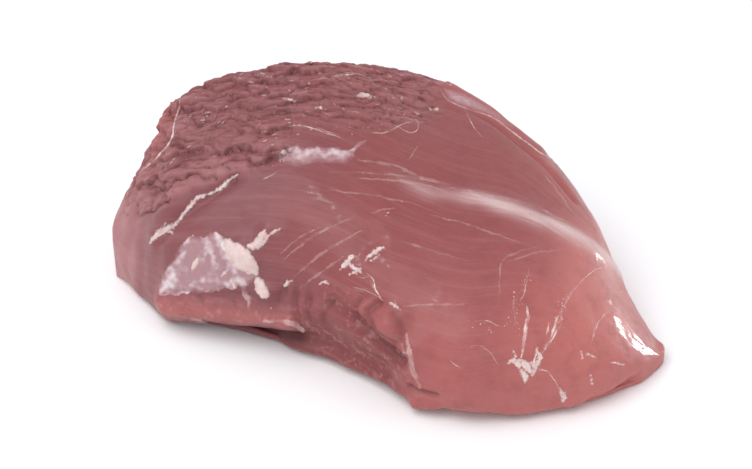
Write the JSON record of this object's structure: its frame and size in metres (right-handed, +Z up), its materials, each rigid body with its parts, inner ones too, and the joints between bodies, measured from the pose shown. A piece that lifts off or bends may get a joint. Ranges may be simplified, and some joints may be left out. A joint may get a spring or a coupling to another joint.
{
  "type": "lamb tenderloin",
  "caption": "Thick wedge-shaped block of raw boneless lamb with torn coarse grain, silverskin and bits of fat, lying on its flat underside.",
  "frame": {"origin": "centre of the bounding box in plan, on the flat underside that the meat lies on", "axes": "+X from the blunt thick end to the tapered tip, -Y towards the side with the waist, +Z up from the board"},
  "size_m": [0.1759, 0.1308, 0.0616],
  "materials": {
    "raw_lamb": "moist raw lamb, satin with wet glints"
  },
  "bodies": {
    "root": {"meat": "raw_lamb"}
  },
  "joints": []
}
